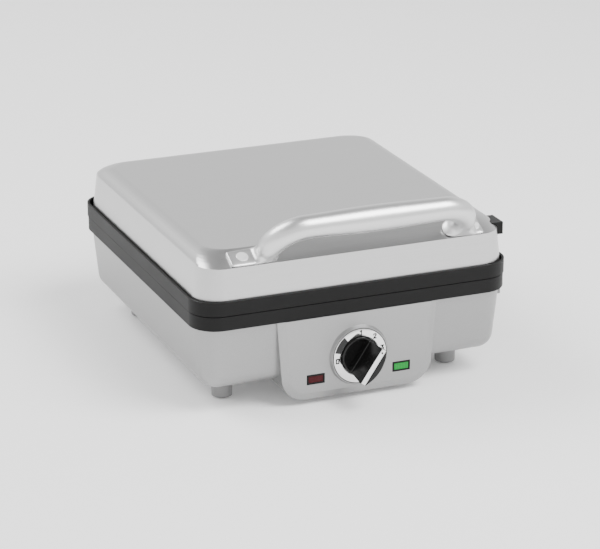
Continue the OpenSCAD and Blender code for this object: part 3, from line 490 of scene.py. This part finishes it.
def lid_shell():
    bm = bmesh.new()
    turn = rounded_face(bm, 14)
    face = bm.faces[:][0]
    lid_level(bm.verts[:], turn, SEAT_Z)
    heights = [14.0, 26.0, CREASE_Z]
    heights += [CREASE_Z + (TOP_Z - CREASE_Z) * t for t in (0.16, 0.32, 0.48, 0.64, 0.78, 0.9, 0.97, 1.0)]
    for z in heights:
        grown = bmesh.ops.extrude_face_region(bm, geom=[face])["geom"]
        ring = [g for g in grown if isinstance(g, bmesh.types.BMVert)]
        lid_level(ring, turn, z)
        face = [g for g in grown if isinstance(g, bmesh.types.BMFace)][0]
    seat = [f for f in bm.faces if all(v.co.z < SEAT_Z + 0.01 for v in f.verts)]
    bmesh.ops.delete(bm, geom=seat, context="FACES_ONLY")
    fold = [
        e for e in bm.edges
        if all(abs(v.co.z - CREASE_Z) < 0.01 for v in e.verts)
    ]
    soften(bm, fold, FOLD_SOFT, 3)
    ridge = [
        e for e in bm.edges
        if all(abs(v.co.z - TOP_Z) < 0.01 and v.co.y < -lid_front(TOP_Z) + 0.6 for v in e.verts)
    ]
    soften(bm, ridge, RIDGE_SOFT, 3)
    bmesh.ops.recalc_face_normals(bm, faces=bm.faces[:])
    bmesh.ops.solidify(bm, geom=bm.faces[:], thickness=SHEET_T)
    return bm


def make_lid_cover():
    mesh = mesh_of("lid_cover_sheet", lid_shell())
    window = bmesh.new()
    front = size_of("upper_release")[0].y
    block(window, (WINDOW_X[0], front - 1, WINDOW_Z[0]), (WINDOW_X[1], front + WINDOW_L, WINDOW_Z[1]))
    mesh = cut_out(mesh, window, "lid_cover_sheet")
    piece = as_piece("lid_cover_sheet", mesh, "lid", LID_STEEL, ("lid_cover",), 30)
    weigh_normals(piece)


make_lid_cover()

# ---------------------------------------------------------------- rims, base, panel

eased("lid_rim", "lid", RIM_DARK, 0.7, 3)
eased("base_rim", "base", RIM_DARK, 0.7, 3)
eased("base_housing", "base", BASE_SILVER, 0.4, 2)
eased("control_panel", "base", PANEL_SILVER, 0.7, 3, 20)
eased("feet", "base", GREY_PLASTIC, 0.5, 2)
eased("foot_pads", "base", PAD_RUBBER, 0.3, 2)
eased("base_hinge_leaves", "base", RIM_DARK, 0.5, 2)
eased("lid_hinge_leaves", "lid", RIM_DARK, 0.5, 2)
eased("lower_release", "lower_release", GREY_PLASTIC, 0.4, 2)
eased("upper_release", "upper_release", BLACK_PLASTIC, 0.4, 2)
eased("lamp_frames", "base", BLACK_PLASTIC, 0.25, 2)
eased("lamp_lens_red", "base", LAMP_RED, 0.4, 3)
eased("lamp_lens_green", "base", LAMP_GREEN, 0.4, 3)
eased("lower_plate", "base", GRID_COATING, 0.5, 2)
eased("upper_plate", "lid", GRID_COATING, 0.5, 2)
eased("cord_gland", "base", BLACK_PLASTIC, 0.4, 2)
eased("base_cover", "base", COVER_STEEL, 0.2, 1)
eased("handle_rivets", "lid", RIVET_METAL, 0.5, 3)


# ---------------------------------------------------------------- handle

SLOPE_TILT = math.atan2(TOP_Z - CREASE_Z, FRONT_RUN)
SLOPE_UP = Vector((0, math.cos(SLOPE_TILT), math.sin(SLOPE_TILT)))
LUG_DROP = 1.8
RIVET_UP = math.hypot(FRONT_RUN, TOP_Z - CREASE_Z) / 2 - LUG_DROP
FOOT_LINE = Vector((0, -lid_front(CREASE_Z), CREASE_Z)) + SLOPE_UP * RIVET_UP
GRIP_MID = Vector((8, -160.55, 70.5))
LEG_RISE = Vector((0, GRIP_MID.y, GRIP_MID.z)) - FOOT_LINE
LEG_UP = LEG_RISE.normalized()
LEG_BACK = Vector((1, 0, 0)).cross(LEG_UP) * -1
FOOT_LIFT = 0.06

# One half of the handle from its foot's tip to the grip's middle. Each station has the
# outer and the inner edge as distance sideways from the leg's axis and height above the
# foot line, then half the width across and how square the section is.
FOOT_STATIONS = (
    ((0.4, 1.2), (0.2, 0.0), 7.2, 3.0),
    ((0.0, 2.0), (0.0, 0.0), 7.9, 4.0),
    ((-0.8, 2.6), (-0.8, 0.0), 8.4, 4.5),
)
LEG_STATIONS = (
    ((13.5, 2.7), (11.5, 0.0), 8.6, 4.5),
    ((11.2, 3.4), (4.0, 0.0), 8.6, 4.0),
    ((9.6, 5.2), (-5.0, 0.0), 8.6, 3.4),
    ((8.9, 7.6), (-12.0, 0.3), 8.7, 3.0),
    ((8.8, 9.4), (-14.2, 2.0), 8.8, 2.7),
    ((9.0, 11.2), (-12.2, 4.6), 8.9, 2.4),
    ((9.3, 13.2), (-10.2, 7.0), 9.2, 2.2),
)
ELBOW_BAR_R, GRIP_R = 9.8, 11.0


def section(outer, inner, across, half_width, square, count=28):
    """A rounded section between two edge points, across the handle's plane."""
    middle = (outer + inner) / 2
    reach = (outer - inner) / 2
    ring = []
    for i in range(count):
        a = 2 * math.pi * i / count
        c, s = math.cos(a), math.sin(a)
        c = math.copysign(abs(c) ** (2 / square), c)
        s = math.copysign(abs(s) ** (2 / square), s)
        ring.append(middle + reach * c + across * (half_width * s))
    return ring


def handle_half(side, foot_tip, half, bend, heel):
    """Sections of one half, from the foot's tip to the middle of the grip.

    half is the grip's straight length, bend the elbow's radius, and heel how far
    the foot reaches inwards under the leg, as a share of its usual length.
    """
    leg_x = GRIP_MID.x + side * (half + bend)
    rise = LEG_RISE.length
    foot = FOOT_LINE + SLOPE_UP.cross(Vector((1, 0, 0))) * -FOOT_LIFT

    def spot(x, height):
        return Vector((x, foot.y, foot.z)) + LEG_UP * height

    rings = []
    for outer, inner, half_width, square in FOOT_STATIONS:
        rings.append(section(
            spot(foot_tip + side * outer[0], outer[1]), spot(foot_tip + side * inner[0], inner[1]),
            SLOPE_UP, half_width, square,
        ))
    for outer, inner, half_width, square in LEG_STATIONS:
        inner = (min(inner[0], 0) * heel + max(inner[0], 0), inner[1])
        share = min(outer[1] / 12, 1)
        across = SLOPE_UP.lerp(LEG_BACK, share).normalized()
        rings.append(section(
            spot(leg_x + side * outer[0], outer[1]), spot(leg_x + side * inner[0], inner[1]),
            across, half_width, square,
        ))
    middle_x = GRIP_MID.x + side * half
    steps = 16
    for i in range(3, steps + 1):
        a = math.pi / 2 * i / steps
        swell = ELBOW_BAR_R + 0.2 * math.sin(2 * a)
        edges = []
        for r in (bend + swell, bend - swell):
            edges.append(spot(middle_x + side * r * math.cos(a), rise - bend + r * math.sin(a)))
        rings.append(section(edges[0], edges[1], LEG_BACK, swell, 2))
    for i in range(1, 13):
        t = i / 12
        r = ELBOW_BAR_R + (GRIP_R - ELBOW_BAR_R) * math.sin(math.pi / 2 * t) ** 1.5
        x = GRIP_MID.x + side * half * (1 - t)
        rings.append(section(spot(x, rise + r), spot(x, rise - r), LEG_BACK, r, 2))
    return rings


def make_handle():
    bm = bmesh.new()
    left = handle_half(-1, -109.0, 57.5, 28.0, 0.72)
    right = handle_half(1, 113.0, 60.5, 26.5, 1.2)
    loft(bm, left + right[-2::-1])
    piece = as_piece(
        "handle_cast", mesh_of("handle_cast", bm), "lid", HANDLE_METAL, ("handle",), 60
    )
    rounded = piece.modifiers.new("rounded", "SUBSURF")
    rounded.levels = rounded.render_levels = 2


make_handle()

# ---------------------------------------------------------------- knob and dial

RING_LOW, RING_HIGH = size_of("dial_ring")
DIAL = Vector(((RING_LOW.x + RING_HIGH.x) / 2, 0, (RING_LOW.z + RING_HIGH.z) / 2))
PANEL_FACE = -150.75
KNOB_BACK = PANEL_FACE + 0.5
KNOB_TILT = math.radians(34)
KNOB_R, KNOB_DISC_H, KNOB_H = 16.3, 5.0, 31.0
RING_R, RING_HOLE_R, RING_FACE = 23.4, 17.0, -153.95


def turned_profile(bm, points, steps=96):
    """Spins a profile of (radius, distance to the front) about the dial's axis."""
    ring = [bm.verts.new((r, y, 0)) for r, y in points]
    edges = [bm.edges.new(pair) for pair in zip(ring, ring[1:])]
    if points[0][0] > 0.01:
        edges.append(bm.edges.new((ring[-1], ring[0])))
    bmesh.ops.spin(
        bm, geom=ring + edges, cent=(0, 0, 0), axis=(0, 1, 0), angle=2 * math.pi,
        steps=steps, use_merge=True,
    )


def at_dial(bm, turn=0.0):
    """Moves a drawing made about the origin to the dial, turned about its axis."""
    place = Matrix.Translation(DIAL) @ Matrix.Rotation(turn, 4, "Y")
    bmesh.ops.transform(bm, matrix=place, verts=bm.verts[:])
    return bm


def make_dial_ring():
    """Flat bright ring with a fine bevel at both edges."""
    bm = bmesh.new()
    back = RING_FACE + 1.0
    turned_profile(bm, (
        (RING_HOLE_R + 0.25, RING_FACE), (RING_R - 0.35, RING_FACE), (RING_R - 0.1, RING_FACE + 0.12),
        (RING_R, RING_FACE + 0.4), (RING_R, back), (RING_HOLE_R, back), (RING_HOLE_R, RING_FACE + 0.25),
    ))
    as_piece("dial_ring_face", mesh_of("dial_ring_face", at_dial(bm)), "base", CHROME,
             ("dial_ring",), 30)


def make_dial_gap_shade():
    """Black ring in the gap around the dial ring, where it sits in its collar: painted shade, standing for
    the shadow inside that gap.
    """
    bm = bmesh.new()
    face = RING_FACE + 0.15
    inside, outside = RING_R + 0.03, RING_R + 0.6
    turned_profile(bm, ((inside, face), (outside, face), (outside, face + 0.8), (inside, face + 0.8)))
    mesh = mesh_of("dial_gap_shade", at_dial(bm))
    # The black plastic here is painted shade for the shaded gap between ring and collar
    as_piece("dial_gap_shade", mesh, "base", BLACK_PLASTIC, (), 30)


make_dial_ring()
make_dial_gap_shade()

STROKE = 1.0
# Each mark is one line of points in a box 1 wide and 2 high, drawn this much larger
MARK_SCALE_X, MARK_SCALE_Z = 2.1, 1.8
MARKS = {
    "0": ((0, 0), (1, 0), (1, 2), (0, 2), (0, 0)),
    "1": ((0.15, 1.55), (0.6, 2), (0.6, 0)),
    "2": ((0, 1.6), (0.2, 2), (0.9, 2), (1, 1.4), (0, 0), (1, 0)),
    "3": ((0, 2), (1, 2), (0.45, 1.15), (1, 0.8), (0.9, 0), (0, 0.1)),
    "4": ((0.75, 0), (0.75, 2), (0, 0.6), (1, 0.6)),
    "5": ((1, 2), (0.1, 2), (0, 1.1), (1, 1), (0.9, 0), (0, 0)),
}
# Clockwise from the top, in degrees
MARK_ANGLES = {"0": -96, "1": 2, "2": 40, "3": 77, "4": 114, "5": 151}


def stroke(bm, start, end, face, depth):
    """One thin bar of a mark, square-ended."""
    start, end = Vector(start), Vector(end)
    along = (end - start).normalized() * (STROKE / 2)
    side = Vector((-along.y, along.x))
    corners = [start - along + side, start - along - side, end + along - side, end + along + side]
    front = [bm.verts.new((c.x, face - depth, c.y)) for c in corners]
    rear = [bm.verts.new((c.x, face + 0.02, c.y)) for c in corners]
    bm.faces.new(front)
    bm.faces.new(rear[::-1])
    for i in range(4):
        j = (i + 1) % 4
        bm.faces.new((front[j], front[i], rear[i], rear[j]))


def make_dial_marks():
    """Printed off mark and numbers, standing just proud of the ring."""
    bm = bmesh.new()
    for mark, degrees in MARK_ANGLES.items():
        a = math.radians(degrees)
        reach = (RING_R + RING_HOLE_R) / 2
        middle = Vector((math.sin(a) * reach, math.cos(a) * reach))
        spots = [
            middle + Vector(((x - 0.5) * MARK_SCALE_X, (z - 1) * MARK_SCALE_Z))
            for x, z in MARKS[mark]
        ]
        # Each stroke stands a little prouder than the last, so that none share a face
        for layer, (first, second) in enumerate(zip(spots, spots[1:])):
            stroke(bm, first, second, RING_FACE, 0.04 + 0.012 * layer)
    mesh = mesh_of("dial_marks", at_dial(bm))
    as_piece("dial_marks", mesh, "base", DIGIT_INK)


make_dial_marks()


# Where the painted dark reflection lies on the dial ring, in degrees clockwise from the top
BAND_FROM, BAND_TO = -77, -38


def make_dial_band():
    """Dark band on the ring between the off mark and 1: a painted reflection, standing for a dark sector
    reflected in the chrome.
    """
    bm = bmesh.new()
    start, end, steps = math.radians(BAND_FROM), math.radians(BAND_TO), 16
    rings = []
    for i in range(steps + 1):
        a = start + (end - start) * i / steps
        rings.append([
            (math.sin(a) * r, y, math.cos(a) * r)
            for r, y in (
                (RING_HOLE_R + 0.5, RING_FACE - 0.05), (RING_R - 0.6, RING_FACE - 0.05),
                (RING_R - 0.6, RING_FACE + 0.02), (RING_HOLE_R + 0.5, RING_FACE + 0.02),
            )
        ])
    loft(bm, rings)
    as_piece("dial_band", mesh_of("dial_band", at_dial(bm)), "base", PAINTED_REFLECTION, (), 30)


def make_knob():
    """Disc with a raised edge, and a tall tapered grip with a swollen right side."""
    disc = bmesh.new()
    front = KNOB_BACK - KNOB_DISC_H
    turned_profile(disc, (
        (0, KNOB_BACK), (KNOB_R, KNOB_BACK), (KNOB_R, front + 0.9), (KNOB_R - 0.3, front + 0.25),
        (KNOB_R - 0.9, front), (KNOB_R - 2.3, front), (KNOB_R - 2.8, front + 0.5), (0, front + 0.5),
    ))
    disc_mesh = mesh_of("knob_disc", at_dial(disc, KNOB_TILT))
    as_piece("knob_disc", disc_mesh, "knob", KNOB_BLACK, ("knob",), 40)
    grip = bmesh.new()
    face = KNOB_BACK - KNOB_H
    root = front + 0.4
    half = 16.8
    # Sections from the disc to the face: depth, half length, left edge, right edge, swell
    levels = (
        (root, 14.2, -4.1, 4.1, 4.4),
        (front - 5.4, 14.7, -4.0, 4.0, 4.6),
        (front - 6.0, 14.8, -3.9, 3.9, 4.6),
        (front - 6.2, 14.8, -3.3, 3.9, 4.7),
        (front - 15, 15.8, -2.9, 3.2, 5.0),
        (face + 1.2, half, -2.5, 2.5, 5.2),
        (face + 0.3, half, -2.45, 2.5, 5.0),
        (face, half - 0.3, -2.2, 2.3, 4.4),
    )
    rings = []
    for depth, length, left, right, swell in levels:
        outline = [(left, -length), (left, length)]
        for i in range(17):
            t = 1 - 2 * i / 16
            outline.append((right + swell * (1 - t * t), length * t))
        rings.append([(x, depth, z) for x, z in outline])
    loft(grip, rings)
    mesh = mesh_of("knob_grip", at_dial(grip, KNOB_TILT))
    as_piece("knob_grip", mesh, "knob", KNOB_BLACK, (), 24)
    strip = bmesh.new()
    block(strip, (-2.15, face - 0.02, -half + 0.25), (2.05, face + 0.6, half - 0.25))
    soften(strip, strip.edges[:], 0.12, 2)
    as_piece("knob_strip", mesh_of("knob_strip", at_dial(strip, KNOB_TILT)), "knob", CHROME,
             ("knob_inlay",), 40)
    dot = bmesh.new()
    turned_profile(dot, ((0, face - 0.05), (0.85, face - 0.05), (0.85, face + 0.02), (0, face + 0.02)), 24)
    bmesh.ops.translate(dot, verts=dot.verts[:], vec=(0, 0, half - 3.4))
    as_piece("knob_dot", mesh_of("knob_dot", at_dial(dot, KNOB_TILT)), "knob", DIGIT_INK)


make_dial_band()
make_knob()

PLAIN_FINISHES = {
    "cover_screws": ZINC, "lamp_bulbs": BULB, "thermostat": CERAMIC, "thermostat_shaft": ZINC,
    "lower_pan": PAN_STEEL, "upper_pan": PAN_STEEL, "lower_heater": HEATER, "upper_heater": HEATER,
    "lower_heater_clips": PAN_STEEL, "upper_heater_clips": PAN_STEEL, "lower_bushings": CERAMIC,
    "upper_bushings": CERAMIC, "lower_plate_clips": ZINC, "upper_plate_clips": ZINC,
    "lower_clip_screws": ZINC, "upper_clip_screws": ZINC, "lower_release_pin": ZINC,
    "upper_release_pin": ZINC, "lower_release_spring": ZINC, "upper_release_spring": ZINC,
    "terminal_block": CERAMIC, "thermal_fuse": CERAMIC, "hinge_pins": ZINC, "base_hinge_screws": ZINC,
    "lid_hinge_screws": ZINC, "rivet_washers": ZINC,
}
for name, finish in PLAIN_FINISHES.items():
    nodes[name].data.materials.clear()
    nodes[name].data.materials.append(finish)


# ---------------------------------------------------------------- floor and light


def add_floor():
    bm = bmesh.new()
    bmesh.ops.create_grid(bm, x_segments=1, y_segments=1, size=12)
    mesh = bpy.data.meshes.new("floor")
    bm.to_mesh(mesh)
    bm.free()
    f = Finish("floor white", Roughness=0.6, Specular_IOR_Level=0.2, Emission_Strength=0.12)
    pale = f.tint(f.mottle(3.0), grey(0.9), grey(0.92))
    f.link(Base_Color=pale, Emission_Color=pale)
    mesh.materials.append(f.material)
    floor = bpy.data.objects.new("floor", mesh)
    bpy.context.scene.collection.objects.link(floor)


def add_softbox(name, at, aim, width, height, power):
    light = bpy.data.lights.new(name, "AREA")
    light.shape = "RECTANGLE"
    light.size, light.size_y = width, height
    light.energy = power
    lamp = bpy.data.objects.new(name, light)
    lamp.location = at
    lamp.rotation_euler = (Vector(aim) - Vector(at)).to_track_quat("-Z", "Y").to_euler()
    bpy.context.scene.collection.objects.link(lamp)


def add_studio():
    """Light walls all round, dimmer overhead, and two large softboxes."""
    world = bpy.data.worlds.new("studio")
    bpy.context.scene.world = world
    world.use_nodes = True
    tree = world.node_tree
    tree.nodes.clear()
    where = tree.nodes.new("ShaderNodeTexCoord")
    height = tree.nodes.new("ShaderNodeSeparateXYZ")
    ramp = tree.nodes.new("ShaderNodeValToRGB")
    back = tree.nodes.new("ShaderNodeBackground")
    out = tree.nodes.new("ShaderNodeOutputWorld")
    stops = ramp.color_ramp
    stops.elements[0].position, stops.elements[0].color = 0.0, grey(1.0)
    stops.elements[1].position, stops.elements[1].color = 1.0, grey(0.3)
    for at, level in ((0.4, 1.0), (0.62, 0.7), (0.8, 0.34)):
        stops.elements.new(at).color = grey(level)
    tree.links.new(where.outputs["Generated"], height.inputs[0])
    tree.links.new(height.outputs["Z"], ramp.inputs[0])
    tree.links.new(ramp.outputs[0], back.inputs["Color"])
    back.inputs["Strength"].default_value = 1.45
    tree.links.new(back.outputs[0], out.inputs["Surface"])
    add_softbox("key", (0.95, -1.25, 2.1), (0, 0, 0), 1.5, 1.5, 95)
    add_softbox("fill", (-1.6, 1.2, 2.2), (0, 0, 0.05), 1.8, 1.8, 80)


add_floor()
add_studio()
